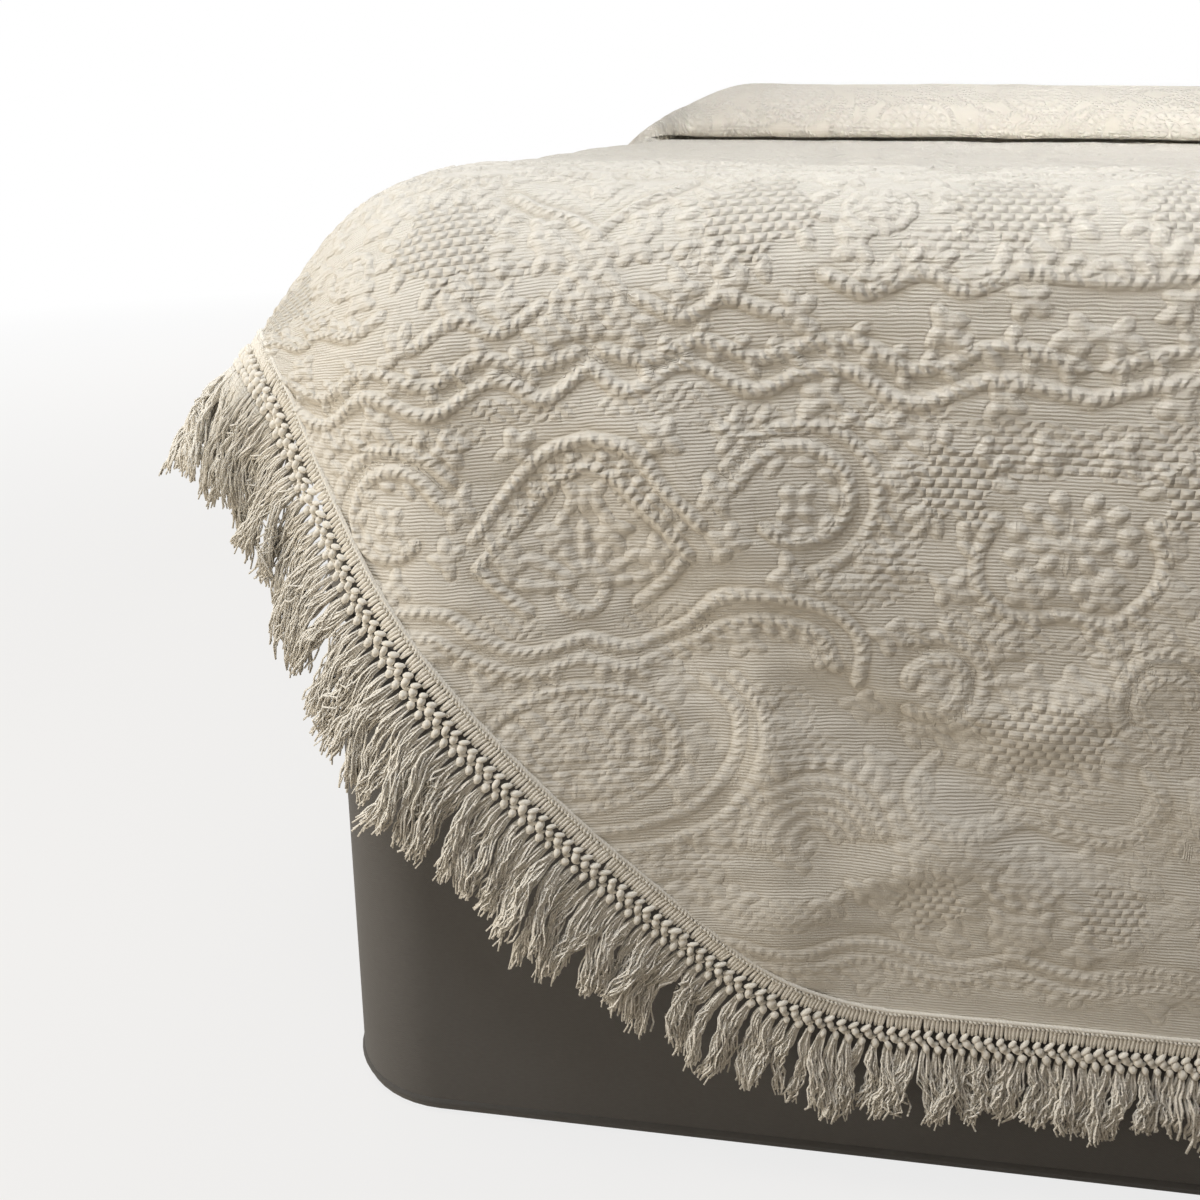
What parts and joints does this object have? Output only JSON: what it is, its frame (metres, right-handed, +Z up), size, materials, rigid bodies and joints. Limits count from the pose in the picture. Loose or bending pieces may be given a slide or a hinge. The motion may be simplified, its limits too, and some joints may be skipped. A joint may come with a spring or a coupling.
{
  "type": "fringed matelasse bedspread on a mattress and bed base",
  "caption": "Woven cotton bedspread with a knotted, tasselled fringe, draped over a mattress on a plain base: tucked under a pillow, rounded at the foot corners and falling low over the foot.",
  "frame": {"origin": "on the floor under the middle of the whole part", "axes": "+Z up, +Y toward the head of the bed, +X to the right as seen from the foot"},
  "size_m": [1.494, 1.9282, 0.674],
  "materials": {
    "spread_cloth": "off-white cotton matelasse with raised woven relief on a fine ribbed ground",
    "fringe_yarn": "natural cotton yarn, knotted netting and loose cut and looped tassels",
    "pillow_cloth": "plain white cotton",
    "bed_cloth": "plain grey upholstery weave"
  },
  "bodies": {
    "root": {"bedspread": "spread_cloth", "fringe_heading": "fringe_yarn", "fringe_netting": "fringe_yarn", "fringe_tassels": "fringe_yarn", "pillow": "pillow_cloth", "mattress": "bed_cloth", "bed_base": "bed_cloth"}
  },
  "joints": []
}
